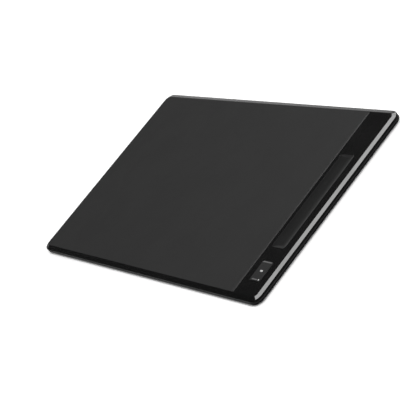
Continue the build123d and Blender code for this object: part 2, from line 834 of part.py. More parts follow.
def make_key_connector():
    """Connector at the back of the key board, for the link ribbon."""
    low_z = board_top_z
    half = link_ribbon_width / 2
    x = link_ribbon_x()
    back = key_board_back_y - connector_edge
    block = plate(x - half - connector_side, x + half + connector_side, back - connector_depth, back,
                  low_z, low_z + connector_height)
    return ribbon_slot(block, x - half, x + half, back - ribbon_insertion, back, slot_height(low_z))


def make_sensor_ribbon():
    """Flat ribbon from the sensor board to the controller board; it steps between two heights."""
    start = sensor_right_x - connector_edge - ribbon_insertion
    end = board_left_x + connector_edge + ribbon_insertion
    start_z = slot_height(sensor_connector_z())
    end_z = slot_height(board_top_z)
    flat = ribbon_insertion + connector_edge
    line = [(start, start_z), (start + flat, start_z), (end - flat, end_z), (end, end_z)]
    half = ribbon_thickness / 2
    upper = [(x, z + half) for x, z in line]
    lower = [(x, z - half) for x, z in reversed(line)]
    y = sensor_ribbon_y()
    return section_along_y(upper + lower, y - sensor_ribbon_width / 2, y + sensor_ribbon_width / 2)


def make_link_ribbon():
    """Flat ribbon beside the pen rest's trough, from the key board to the controller board."""
    x = link_ribbon_x()
    z = slot_height(board_top_z)
    half = link_ribbon_width / 2
    start = key_board_back_y - connector_edge - ribbon_insertion
    end = controller_front_y + connector_edge + ribbon_insertion
    return plate(x - half, x + half, start, end, z - ribbon_thickness / 2, z + ribbon_thickness / 2)


def make_switch_bodies():
    """The two switch housings, each open at the top for its plunger."""
    bodies = []
    for side in (-1, 1):
        y = key_y + side * switch_arm
        half = switch_size / 2
        high_z = board_top_z + switch_height
        body = plate(key_x - half, key_x + half, y - half, y + half, board_top_z, high_z, switch_corner)
        body -= post(key_x, y, switch_bore_radius, board_top_z + switch_floor, high_z - switch_lid)
        body -= post(key_x, y, plunger_radius + plunger_clearance, high_z - switch_lid, high_z)
        bodies.append(body)
    return bodies


def make_plunger(side):
    """A switch's plunger, with the flange that keeps it in its housing."""
    y = key_y + side * switch_arm
    stem = post(key_x, y, plunger_radius, plunger_bottom_z, plunger_top_z)
    stem = chamfer(edges_at(stem, plunger_top_z), plunger_chamfer)
    return stem + post(key_x, y, plunger_flange_radius, plunger_bottom_z, plunger_bottom_z + plunger_flange)


def lens_outline(grow):
    """The centre lens in plan, with round ends, grown all round."""
    return SlotOverall(lens_length + 2 * grow, lens_width + 2 * grow)


def status_place():
    """Centre of the small lens in the key's front right corner."""
    return key_x + key_width / 2 - status_from_side, key_y - key_length / 2 + status_from_end


def bar_limits():
    """Left, right and centre line of the far and the near bar."""
    far_y = key_y + key_length / 2 - bar_from_edge
    near_y = key_y - key_length / 2 + bar_from_edge + near_bar_shift
    far = (key_x - far_bar_half_length, key_x + far_bar_half_length, far_y)
    near = (key_x + near_bar_left, key_x + near_bar_right, near_y)
    return [far, near]


def bar_block(limits, grow, z_low, z_high):
    """One bar, grown all round, with round ends."""
    left, right, y = limits
    half = bar_width / 2 + grow
    return plate(left - grow, right + grow, y - half, y + half, z_low, z_high, half - round_end_trim)


def make_rocker_key():
    """The key: a cap, two side plates with their pivots, and a presser over each switch."""
    half_width = key_width / 2
    half_length = key_length / 2
    cap = plate(key_x - half_width, key_x + half_width, key_y - half_length, key_y + half_length,
                key_under_z, key_top_z, key_corner)
    cap = fillet(edges_at(cap, key_top_z), key_edge_round)
    pieces = [cap]
    low_z = pivot_z - trunnion_radius - ear_wall / 2
    for side in (-1, 1):
        outer = key_x + side * (half_width - key_side_step)
        inner = outer - side * key_plate_thickness
        half = key_plate_length / 2
        pieces.append(plate(min(inner, outer), max(inner, outer), key_y - half, key_y + half,
                            low_z, key_under_z + overlap))
        pin = Rot(0, 90, 0) * Cylinder(trunnion_radius, trunnion_length + overlap)
        pieces.append(Pos(outer + side * (trunnion_length - overlap) / 2, key_y, pivot_z) * pin)
    ball_z = plunger_top_z + presser_gap + presser_radius
    for side in (-1, 1):
        y = key_y + side * switch_arm
        pieces.append(post(key_x, y, presser_radius, ball_z, key_under_z + overlap))
        pieces.append(Pos(key_x, y, ball_z) * Sphere(presser_radius))
    key = join(pieces)
    for limits in bar_limits():
        key -= bar_block(limits, bar_gap, key_top_z - bar_sunk, key_top_z)
    window = extrude(lens_outline(lens_gap), amount=key_cap_thickness)
    key -= Pos(key_x, key_y, key_under_z) * window
    x, y = status_place()
    key -= post(x, y, status_lens_radius + lens_gap, key_under_z, key_top_z)
    return key


def make_key_bars():
    """The two pale bars let into the key's top."""
    bars = []
    for limits in bar_limits():
        bar = bar_block(limits, 0, key_top_z - bar_sunk, key_top_z + bar_proud)
        bars.append(chamfer(edges_at(bar, key_top_z + bar_proud), bar_edge_chamfer))
    return bars


def make_centre_lens():
    """The lens in the middle of the key, with a flange under the cap."""
    body = extrude(lens_outline(0), amount=key_cap_thickness + lens_proud)
    lens = Pos(key_x, key_y, key_under_z) * body
    lens = fillet(edges_at(lens, key_top_z + lens_proud), lens_edge_round)
    flange = extrude(lens_outline(lens_flange_width), amount=lens_flange)
    return lens + Pos(key_x, key_y, key_under_z - lens_flange) * flange


def make_status_lens():
    """The small round lens in the key's front right corner."""
    x, y = status_place()
    lens = post(x, y, status_lens_radius, key_under_z, key_top_z + lens_proud)
    lens = fillet(edges_at(lens, key_top_z + lens_proud), lens_edge_round)
    flange_radius = status_lens_radius + status_flange
    return lens + post(x, y, flange_radius, key_under_z - lens_flange, key_under_z)


def make_indicator_lights():
    """The two lights on the key board, one under each lens."""
    half_length = light_length / 2
    half_width = light_width / 2
    lights = []
    for x, y in ((key_x, key_y), status_place()):
        lights.append(plate(x - half_length, x + half_length, y - half_width, y + half_width,
                            board_top_z, board_top_z + light_height))
    return lights


def make_socket_shell():
    """The socket's drawn metal shell, closed at its inner end."""
    shell = socket_block(0, socket_back_y, socket_mouth_y)
    return shell - socket_block(-socket_sheet, socket_back_y + socket_sheet, socket_mouth_y)


def make_socket_tongue():
    """The socket's insulating block and the tongue that carries its contacts."""
    inner_y = socket_back_y + socket_sheet
    root_y = inner_y + tongue_root
    block = socket_block(-socket_sheet - block_clearance, inner_y, root_y)
    half = tongue_width / 2
    thin = tongue_thickness / 2
    tongue = plate(socket_x - half, socket_x + half, inner_y + tongue_corner, root_y + tongue_length,
                   socket_z - thin, socket_z + thin, tongue_corner)
    return block + tongue


def make_socket_contacts():
    """A row of flat contacts on each face of the tongue."""
    start = socket_back_y + socket_sheet + tongue_root
    first = socket_x - (contact_count - 1) * contact_pitch / 2
    half = contact_width / 2
    thin = tongue_thickness / 2
    contacts = []
    for i in range(contact_count):
        x = first + i * contact_pitch
        for side in (-1, 1):
            low, high = sorted((socket_z + side * thin, socket_z + side * (thin + contact_thickness)))
            contacts.append(plate(x - half, x + half, start, start + contact_length, low, high))
    return contacts


def make_foot(x, y):
    """A soft foot with round ends, let into the underside."""
    half_length = foot_length / 2
    half_width = foot_width / 2
    foot = plate(x - half_length, x + half_length, y - half_width, y + half_width,
                 0, base_z + foot_sunk, half_width - round_end_trim)
    return fillet(edges_at(foot, 0), foot_edge_round)


def save(node, solids):
    """Write one sub-part, which is one solid or a group of separate ones."""
    group = solids if isinstance(solids, list) else [solids]
    flat = [solid for item in group for solid in item.solids()]
    shape = flat[0] if len(flat) == 1 else Compound(children=flat)
    shape.label = node
    export_step(shape, f"parts/{node}.step")


def main():
    os.makedirs("parts", exist_ok=True)
    save("top_cover", make_top_cover())
    save("bottom_cover", make_bottom_cover())
    save("drawing_sheet", make_drawing_sheet())
    save("sheet_adhesive", make_sheet_adhesive())
    save("pen_rest_liner", make_pen_rest_liner())
    save("sensor_board", make_sensor_board())
    save("shield_plate", make_shield_plate())
    save("foam_layer", make_foam_layer())
    save("analog_switches", make_analog_switches())
    save("sensor_connector", make_sensor_connector())
    save("sensor_ribbon", make_sensor_ribbon())
    save("controller_board", make_controller_board())
    save("microcontroller", make_microcontroller())
    save("crystal", make_crystal())
    save("voltage_regulator", make_voltage_regulator())
    save("small_components", make_small_components())
    save("controller_connectors", make_controller_connectors())
    save("link_ribbon", make_link_ribbon())
    save("key_board", make_key_board())
    save("key_connector", make_key_connector())
    save("indicator_lights", make_indicator_lights())
    save("switch_bodies", make_switch_bodies())
    save("far_plunger", make_plunger(1))
    save("near_plunger", make_plunger(-1))
    save("rocker_key", make_rocker_key())
    save("key_bars", make_key_bars())
    save("centre_lens", make_centre_lens())
    save("status_lens", make_status_lens())
    save("socket_shell", make_socket_shell())
    save("socket_tongue", make_socket_tongue())
    save("socket_contacts", make_socket_contacts())
    save("shell_screws", [shell_screw(x, y) for x, y in screw_places()])
    board_places = key_board_screw_places() + controller_screw_places()
    save("board_screws", [board_screw(x, y) for x, y in board_places])
    for name, x, y in foot_places():
        save(name, make_foot(x, y))


main()
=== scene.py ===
"""A graphics tablet on a pale studio floor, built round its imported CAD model.

Every length is in metres and every angle in degrees, in the frame of the CAD model: X to the tablet's
right, Y to its back, Z up, with the origin on the table under its middle. Names that end in _mm are in
millimetres.
"""
import json

import bpy
import numpy as np
from mathutils import Matrix, Vector


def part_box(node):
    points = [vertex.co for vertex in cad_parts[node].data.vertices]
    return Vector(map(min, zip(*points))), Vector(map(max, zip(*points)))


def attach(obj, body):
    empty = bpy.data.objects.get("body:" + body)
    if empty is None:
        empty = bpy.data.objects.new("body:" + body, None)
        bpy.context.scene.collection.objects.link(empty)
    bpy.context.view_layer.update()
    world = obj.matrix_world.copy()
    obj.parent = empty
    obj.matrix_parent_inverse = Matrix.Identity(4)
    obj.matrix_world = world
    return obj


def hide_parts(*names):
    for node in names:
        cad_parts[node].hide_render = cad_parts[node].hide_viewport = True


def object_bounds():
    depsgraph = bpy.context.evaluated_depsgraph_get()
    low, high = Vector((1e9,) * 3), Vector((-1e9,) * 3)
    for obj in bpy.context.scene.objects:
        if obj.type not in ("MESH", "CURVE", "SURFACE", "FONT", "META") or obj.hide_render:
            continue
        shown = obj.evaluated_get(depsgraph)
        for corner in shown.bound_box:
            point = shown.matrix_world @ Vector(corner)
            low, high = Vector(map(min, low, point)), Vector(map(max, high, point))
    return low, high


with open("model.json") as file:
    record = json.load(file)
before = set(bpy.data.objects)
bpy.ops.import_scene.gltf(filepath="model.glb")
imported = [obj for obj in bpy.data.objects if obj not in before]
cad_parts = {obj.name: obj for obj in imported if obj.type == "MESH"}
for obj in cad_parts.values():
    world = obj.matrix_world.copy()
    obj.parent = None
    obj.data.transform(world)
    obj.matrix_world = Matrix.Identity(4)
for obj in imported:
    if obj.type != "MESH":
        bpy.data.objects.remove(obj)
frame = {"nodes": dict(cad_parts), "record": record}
cad_low, cad_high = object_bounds()

MM = 0.001

# Camera, as solved from the photograph
camera_azimuth = 69.936
camera_elevation = 27.780
camera_roll = -42.069
camera_distance = 1.35204
camera_aim = (0.008885, -0.017287, 0.008)
camera_lens = 139.6
camera_sensor = 36.0
camera_clip = (0.05, 50.0)

# Studio
floor_half = 6.0
floor_albedo = 0.96
floor_glow = 0.32            # part of the floor's white that no shadow takes away
outline_radius = 0.009       # of the tablet's corners, seen from above
painted_shadow_edge = (0.0065, 0.0095)  # painted contact shadow: the glow starts at the outline, and there is none under the tablet
glow_far = (0.2, 1.0)        # and it grows to white here, so that the lamps' fall-off doesn't show
ambient_level = 0.16         # of the plain grey light that falls on things from all round
horizon_level = 0.64         # what gloss mirrors low in the sky
dark_ceiling = 0.030         # and high in it
sweep_low = 0.26             # the first ends and the second starts at these sines of the elevation
sweep_high = 0.42
top_box_place = (-0.275, 0.365, 1.17)
top_box_size = (0.35, 1.17)
top_box_power = 6.2
corner_box_place = (-0.755, 1.31, 1.10)
corner_box_size = (0.42, 0.66)
corner_box_along = (-0.68, 0.73, 0.0)
corner_box_power = 2.9
side_box_place = (1.74, -0.11, 1.36)
side_box_size = (1.4, 0.45)
side_box_power = 43.0

# The cover's left edge, dulled by the hand, between these two places along X
dull_edge = (-0.1715, -0.1675)

# Heights between which the cover's finish changes: a matt band on the shoulder, a glossy coat above it
shoulder_foot = (0.0060, 0.0063)
bevel_foot = (0.00662, 0.00672)

# Painted highlights, drawn as paler bands on the lower wall and the pen rest's far end: the axis, where a
# band starts and ends along it in millimetres, and its grey
parting_highlight_band = ("Z", 4.05, 4.5, 0.025)
rest_end_highlight_band = ("Y", 48.5, 50.1, 0.022)
highlight_band_soft_mm = 0.1

# The drawing sheet's flank is smoother: where that starts and is full along X in millimetres, and the
# change of roughness
flank_polish = (139.3, 140.0, -0.36)

# Marks of use, the coat, the sheen and the painted glow
wear_radius_mm = 0.35
smudge_scale = 17.0          # in features per metre, as all scales of patterns are
dust_grey = (0.32, 0.03)     # its level and warmth
worn_roughness = 0.2         # what full wear adds to the roughness
dust_roughness = 0.3
coat_roughness = 0.06
coat_ior = 1.7
smudge_wipe = 0.10           # the part of the coat that a full smudge takes away
dull_wipe = 0.80
scratch_wipe = 0.12
wear_wipe = 0.35
dust_wipe = 0.5
sheen_roughness = 0.5
painted_top_light_facing = (0.5, 0.98)     # painted light: a lit piece glows more where it faces up, by the upward part of the normal
painted_top_light_greys = (0.25, 1.0)

# Pen rest insert
rest_depth_mm = 2.4
rest_bottom_mm = 14.4        # width of the round bottom, between the two rounded rims
rest_corner_mm = 3.0
rest_far_lean = 0.67         # how far the far end wall leans out for each unit of depth
rest_near_lean = 1.6         # and the near one, where the pen is lifted out
rest_blend_mm = 0.5
rest_edge_mm = 0.25

# Drawing sheet
sheet_left_corner_mm = 4.0
sheet_right_corner_mm = 0.8
sheet_flank_mm = 1.7
sheet_valley_mm = 0.45
sheet_crease_mm = 0.5
sheet_fade_mm = 12.0         # the soft start of the flank ends this far inside it
sheet_edge_mm = 0.08

# Feet
foot_edge_mm = 0.35
foot_ridge_mm = 0.9
foot_ridge_depth_mm = 0.10
foot_rim_mm = 0.05           # the fine bevel of its upper edge, and the small flats in the middle
foot_end_mm = 0.01           # half of the straight that is left at each round end
foot_sharp = 50.0            # an edge that turns by more than this stays hard
foot_rings = 60
foot_edge_steps = 8
smallest_ring_mm = 0.02

# Spacing of the other new surfaces' points in millimetres: the zones at both ends, each with its reach
# and step, and then the step between them
rest_across = (((0.3, 0.05), (0.6, 0.1)), 0.2)
rest_along = (((0.3, 0.05), (4.5, 0.15)), 1.0)
sheet_across = (((0.1, 0.02), (2.6, 0.1), (5.0, 0.4)), 4.0)
sheet_along = (((0.1, 0.02), (4.2, 0.2)), 4.0)


def put(tree, value, socket):
    """Feed a socket with a number, a colour or another node's output."""
    if isinstance(value, bpy.types.NodeSocket):
        tree.links.new(value, socket)
    else:
        socket.default_value = value


def add(tree, kind, feeds=None, **settings):
    """A new shader node of this kind, with its settings made and its inputs fed."""
    made = tree.nodes.new("ShaderNode" + kind)
    for name, value in settings.items():
        setattr(made, name, value)
    for name, value in (feeds or {}).items():
        put(tree, value, made.inputs[name])
    return made


def calc(tree, operation, *values, clamp=False):
    """The result of one sum on numbers or outputs."""
    made = add(tree, "Math", dict(enumerate(values)), operation=operation, use_clamp=clamp)
    return made.outputs[0]


def ramp(tree, value, low, high, to_low=0.0, to_high=1.0):
    """A soft step: to_low where the value is under low, to_high where it is over high."""
    made = add(tree, "MapRange", {"Value": value, "From Min": low, "From Max": high,
                                  "To Min": to_low, "To Max": to_high},
               interpolation_type="SMOOTHSTEP")
    return made.outputs["Result"]


def blend_colours(tree, factor, first, second):
    """The first colour where the factor is nought, the second where it is one."""
    return add(tree, "MixRGB", {"Fac": factor, "Color1": first, "Color2": second}).outputs[0]


def grey(level, warmth=0.0):
    """A grey, or one with a little more red than blue."""
    return (level * (1 + warmth), level, level * (1 - warmth), 1.0)


def new_material(name):
    """An empty node material and its tree."""
    material = bpy.data.materials.new(name)
    material.use_nodes = True
    material.node_tree.nodes.clear()
    return material, material.node_tree


def new_group(name, inputs, outputs):
    """An empty node group with these number or vector inputs and number outputs."""
    tree = bpy.data.node_groups.new(name, "ShaderNodeTree")
    for label, kind in inputs:
        tree.interface.new_socket(label, in_out="INPUT", socket_type="NodeSocket" + kind)
    for label in outputs:
        tree.interface.new_socket(label, in_out="OUTPUT", socket_type="NodeSocketFloat")
    start = tree.nodes.new("NodeGroupInput")
    end = tree.nodes.new("NodeGroupOutput")
    return tree, start.outputs, end.inputs


def use_group(tree, group, **feeds):
    """Place a node group in a material and return its outputs."""
    made = tree.nodes.new("ShaderNodeGroup")
    made.node_tree = group
    for name, value in feeds.items():
        put(tree, value, made.inputs[name])
    return made.outputs


def make_grain_group():
    """Moulded grain: half soft noise and half rounded cells; the shade drifts over wide patches."""
    cell_ratio = 0.7
    patch_scale = 26.0
    patch_range = (0.35, 0.65)
    fine_range = (0.3, 0.7)
    tree, given, out = new_group("moulded_grain", (("Place", "Vector"), ("Scale", "Float")),
                                 ("Height", "Shade"))
    noise = add(tree, "TexNoise", {"Vector": given["Place"], "Scale": given["Scale"], "Detail": 3.0,
                                   "Roughness": 0.6})
    cell_scale = calc(tree, "MULTIPLY", given["Scale"], cell_ratio)
    cells = add(tree, "TexVoronoi", {"Vector": given["Place"], "Scale": cell_scale},
                feature="SMOOTH_F1")
    lifted = calc(tree, "MULTIPLY_ADD", cells.outputs["Distance"], -0.5, 0.5)
    height = calc(tree, "MULTIPLY_ADD", noise.outputs[0], 0.5, lifted)
    put(tree, height, out["Height"])
    wide = add(tree, "TexNoise", {"Vector": given["Place"], "Scale": patch_scale, "Detail": 2.0})
    patches = ramp(tree, wide.outputs[0], *patch_range)
    fine = ramp(tree, noise.outputs[0], *fine_range)
    put(tree, calc(tree, "MULTIPLY_ADD", fine, 0.5, calc(tree, "MULTIPLY", patches, 0.5)), out["Shade"])
    return tree


def make_wear_group():
    """Worn edges: where the normal, rounded over a radius, parts from the true one, broken by noise."""
    edge_range = (0.01, 0.14)    # one less the cosine between the two normals
    break_scale = 700.0
    break_range = (0.42, 0.66)
    tree, given, out = new_group("edge_wear", (("Place", "Vector"), ("Radius", "Float")), ("Mask",))
    rounded = add(tree, "Bevel", {"Radius": given["Radius"]}, samples=6)
    true = add(tree, "NewGeometry")
    dot = add(tree, "VectorMath", {0: rounded.outputs[0], 1: true.outputs["Normal"]},
              operation="DOT_PRODUCT")
    turned = calc(tree, "SUBTRACT", 1.0, dot.outputs["Value"])
    edge = ramp(tree, turned, *edge_range)
    noise = add(tree, "TexNoise", {"Vector": given["Place"], "Scale": break_scale, "Detail": 4.0,
                                   "Roughness": 0.65})
    broken = ramp(tree, noise.outputs[0], *break_range)
    put(tree, calc(tree, "MULTIPLY", edge, broken), out["Mask"])
    return tree


def make_handling_group():
    """Smudges from hands: wide warped patches, streaked by a finer noise."""
    streak_ratio = 11.0
    patch_range = (0.42, 0.68)
    streak_range = (0.3, 0.7)
    faintest_streak = 0.35
    tree, given, out = new_group("handling", (("Place", "Vector"), ("Scale", "Float")), ("Mask",))
    wide = add(tree, "TexNoise", {"Vector": given["Place"], "Scale": given["Scale"], "Detail": 2.0,
                                  "Distortion": 1.4})
    fine_scale = calc(tree, "MULTIPLY", given["Scale"], streak_ratio)
    fine = add(tree, "TexNoise", {"Vector": given["Place"], "Scale": fine_scale, "Detail": 4.0,
                                  "Distortion": 2.0})
    patch = ramp(tree, wide.outputs[0], *patch_range)
    streak = ramp(tree, fine.outputs[0], *streak_range, faintest_streak, 1.0)
    put(tree, calc(tree, "MULTIPLY", patch, streak), out["Mask"])
    return tree


def make_dust_group():
    """Dust on faces that look up: specks in the middles of a few of many small cells, and a thin veil."""
    upward_range = (0.55, 0.95)
    cell_scale = 420.0
    speck_range = (0.05, 0.10)
    empty_share = 0.9
    veil_scale = 55.0
    veil_range = (0.45, 0.75)
    veil_level = 0.12
    tree, given, out = new_group("settled_dust", (("Place", "Vector"),), ("Mask",))
    true = add(tree, "NewGeometry")
    split = add(tree, "SeparateXYZ", {0: true.outputs["Normal"]})
    upward = ramp(tree, split.outputs["Z"], *upward_range)
    cells = add(tree, "TexVoronoi", {"Vector": given["Place"], "Scale": cell_scale})
    speck = ramp(tree, cells.outputs["Distance"], *speck_range, 1.0, 0.0)
    chosen = add(tree, "SeparateColor", {0: cells.outputs["Color"]})
    few = calc(tree, "GREATER_THAN", chosen.outputs[0], empty_share)
    film = add(tree, "TexNoise", {"Vector": given["Place"], "Scale": veil_scale, "Detail": 5.0})
    veil = ramp(tree, film.outputs[0], *veil_range, 0.0, veil_level)
    both = calc(tree, "MULTIPLY_ADD", speck, few, veil)
    put(tree, calc(tree, "MULTIPLY", upward, both), out["Mask"])
    return tree


def make_hairline_group():
    """Hairline scratches: thin level lines of a noise that is stretched a long way, at two angles."""
    line_sets = ((0.35, 9.0), (-1.1, 14.0))    # the turn in radians and the scale of each
    stretch = 26.0
    line_range = (0.001, 0.004)
    patch_scale = 38.0
    patch_range = (0.5, 0.62)
    tree, given, out = new_group("hairlines", (("Place", "Vector"),), ("Mask",))
    lines = []
    for turn, scale in line_sets:
        turned = add(tree, "Mapping", {"Vector": given["Place"], "Rotation": (0.0, 0.0, turn),
                                       "Scale": (1.0, stretch, 1.0)})
        noise = add(tree, "TexNoise", {"Vector": turned.outputs[0], "Scale": scale, "Detail": 2.0})
        off = calc(tree, "ABSOLUTE", calc(tree, "SUBTRACT", noise.outputs[0], 0.5))
        lines.append(ramp(tree, off, *line_range, 1.0, 0.0))
    patch = add(tree, "TexNoise", {"Vector": given["Place"], "Scale": patch_scale, "Detail": 1.0})
    where = ramp(tree, patch.outputs[0], *patch_range)
    put(tree, calc(tree, "MULTIPLY", calc(tree, "MAXIMUM", *lines), where), out["Mask"])
    return tree


grain_group = make_grain_group()
wear_group = make_wear_group()
handling_group = make_handling_group()
dust_group = make_dust_group()
hairline_group = make_hairline_group()


def traces(tree, place):
    """Copper under solder mask: the joints of a fine brick pattern, and round pads between them."""
    trace_scale = 330.0
    pad_scale = 260.0
    pad_range = (0.16, 0.22)
    over_board = (0.012, 0.10, 0.045, 1.0)
    over_copper = (0.03, 0.20, 0.085, 1.0)
    brick = add(tree, "TexBrick", {"Vector": place, "Scale": trace_scale, "Mortar Size": 0.16,
                                   "Mortar Smooth": 0.3, "Brick Width": 1.7, "Row Height": 0.35,
                                   "Color1": grey(0.0), "Color2": grey(0.0), "Mortar": grey(1.0)})
    cells = add(tree, "TexVoronoi", {"Vector": place, "Scale": pad_scale})
    pads = ramp(tree, cells.outputs["Distance"], *pad_range, 1.0, 0.0)
    line = add(tree, "SeparateColor", {0: brick.outputs[0]})
    raised = calc(tree, "MAXIMUM", line.outputs[0], pads)
    return blend_colours(tree, raised, over_board, over_copper), raised


def foam_cells(tree, place):
    """Closed foam: rounded cells whose pits in the middle are painted dark, a painted shade in the hollows.
    """
    cell_scale = 1400.0
    wall_range = (0.1, 0.6)
    # the pits' grey is painted shade
    pit_shade_grey = grey(0.03)
    wall_grey = grey(0.075)
    cells = add(tree, "TexVoronoi", {"Vector": place, "Scale": cell_scale}, feature="SMOOTH_F1")
    wall = ramp(tree, cells.outputs["Distance"], *wall_range)
    return blend_colours(tree, wall, pit_shade_grey, wall_grey), wall


def conductors(tree, place):
    """Flat ribbon: grey parallel tracks under a pale film."""
    track_scale = 300.0
    track_range = (0.35, 0.6)
    film_colour = (0.70, 0.68, 0.62, 1.0)
    track_colour = (0.46, 0.48, 0.50, 1.0)
    wave = add(tree, "TexWave", {"Vector": place, "Scale": track_scale}, bands_direction="DIAGONAL")
    track = ramp(tree, wave.outputs["Fac"], *track_range)
    return blend_colours(tree, track, film_colour, track_colour), track


def rolled_steel(tree, place):
    """Rolled sheet: long fine streaks along the direction of rolling."""
    stretch = 40.0
    streak_scale = 60.0
    dark_steel = grey(0.42)
    light_steel = grey(0.62)
    stretched = add(tree, "Mapping", {"Vector": place, "Scale": (1.0, stretch, stretch)})
    noise = add(tree, "TexNoise", {"Vector": stretched.outputs[0], "Scale": streak_scale, "Detail": 4.0})
    return blend_colours(tree, noise.outputs[0], dark_steel, light_steel), noise.outputs[0]


def finish(name, roughness, colour=None, pattern=None, shade=0.25, specular=0.5, metallic=0.0,
           grain_mm=0.3, depth_mm=0.01, wear=0.3, worn=0.12, smudge=0.08, dust=0.25, lines=0.1,
           matt=0.0, coat=0.0, sheen=0.0, lit=0.0, polish=None, rim=None):
    """A material made of the shared effects, each at its own strength.

    The base colour is the given one, shaded by the grain, or else a pattern draws it. A rim paints a paler
    band of another grey, a painted highlight; worn edges are lightened, and dust greys what faces up.
    Roughness rises with smudges, wear, scratches and dust; polish changes it along X, and matt adds to it
    on the shoulder and the dulled left edge. The grain and the pattern are a bump. A coat starts at the
    foot of the bevel, and every mark thins it. A lit piece glows with painted light, most where it faces
    up."""
    material, tree = new_material(name)
    place = add(tree, "TexCoord").outputs["Object"]
    grain = use_group(tree, grain_group, Place=place, Scale=1.0 / (grain_mm * MM))
    worn_mask = use_group(tree, wear_group, Place=place, Radius=wear_radius_mm * MM)["Mask"]
    hand_mask = use_group(tree, handling_group, Place=place, Scale=smudge_scale)["Mask"]
    dust_mask = use_group(tree, dust_group, Place=place)["Mask"]
    line_mask = use_group(tree, hairline_group, Place=place)["Mask"]
    relief = grain["Height"]
    if pattern:
        base, raised = pattern(tree, place)
        relief = calc(tree, "ADD", relief, raised)
    else:
        dark = tuple(value * (1 - shade) for value in colour[:3]) + (1.0,)
        light = tuple(value * (1 + shade) for value in colour[:3]) + (1.0,)
        base = blend_colours(tree, grain["Shade"], dark, light)
    split = add(tree, "SeparateXYZ", {0: place})
    # A rim is a painted highlight: a paler band of another grey
    if rim:
        axis, start, end, level = rim
        begun = ramp(tree, split.outputs[axis], start * MM, (start + highlight_band_soft_mm) * MM)
        going = ramp(tree, split.outputs[axis], (end - highlight_band_soft_mm) * MM, end * MM, 1.0, 0.0)
        base = blend_colours(tree, calc(tree, "MULTIPLY", begun, going), base, grey(level))
    scuffed = blend_colours(tree, calc(tree, "MULTIPLY", worn_mask, wear), base, grey(worn))
    dusty = blend_colours(tree, calc(tree, "MULTIPLY", dust_mask, dust), scuffed, grey(*dust_grey))
    rough = roughness
    for mask, change in ((hand_mask, smudge), (worn_mask, worn_roughness), (line_mask, lines)):
        rough = calc(tree, "MULTIPLY_ADD", mask, change, rough)
    if polish:
        start, full, change = polish
        smoother = ramp(tree, split.outputs["X"], start * MM, full * MM, 0.0, change)
        rough = calc(tree, "ADD", smoother, rough)
    rough = calc(tree, "MULTIPLY_ADD", dust_mask, dust_roughness, rough, clamp=True)
    if matt or coat:
        dulled = ramp(tree, split.outputs["X"], *dull_edge, 1.0, 0.0)
    if matt:
        shoulder = calc(tree, "MULTIPLY", ramp(tree, split.outputs["Z"], *shoulder_foot),
                        ramp(tree, split.outputs["Z"], *bevel_foot, 1.0, 0.0))
        rough = calc(tree, "MULTIPLY_ADD", calc(tree, "MAXIMUM", shoulder, dulled), matt, rough)
    bump = add(tree, "Bump", {"Height": relief, "Strength": 1.0, "Distance": depth_mm * MM})
    shader = add(tree, "BsdfPrincipled", {
        "Base Color": dusty, "Roughness": rough, "Metallic": metallic, "Specular IOR Level": specular,
        "Normal": bump.outputs[0]})
    if sheen:
        shader.inputs["Sheen Weight"].default_value = sheen
        shader.inputs["Sheen Roughness"].default_value = sheen_roughness
    if coat:
        shader.inputs["Coat Roughness"].default_value = coat_roughness
        shader.inputs["Coat IOR"].default_value = coat_ior
        above = ramp(tree, split.outputs["Z"], *bevel_foot, 0.0, coat)
        kept = 1.0
        for mask, wipe in ((hand_mask, smudge_wipe), (dulled, dull_wipe), (line_mask, scratch_wipe),
                           (worn_mask, wear_wipe), (dust_mask, dust_wipe)):
            kept = calc(tree, "MULTIPLY_ADD", mask, -wipe, kept, clamp=True)
        put(tree, calc(tree, "MULTIPLY", above, kept), shader.inputs["Coat Weight"])
    # Painted light: an emission glow that is strongest on faces that look up, as if lit from above
    if lit:
        true = add(tree, "NewGeometry")
        upward = add(tree, "SeparateXYZ", {0: true.outputs["Normal"]}).outputs["Z"]
        dim, bright = painted_top_light_greys
        glow = blend_colours(tree, ramp(tree, upward, *painted_top_light_facing), grey(dim), grey(bright))
        put(tree, glow, shader.inputs["Emission Color"])
        shader.inputs["Emission Strength"].default_value = lit
    end = add(tree, "OutputMaterial", {"Surface": shader.outputs[0]})
    end.is_active_output = True
    return material


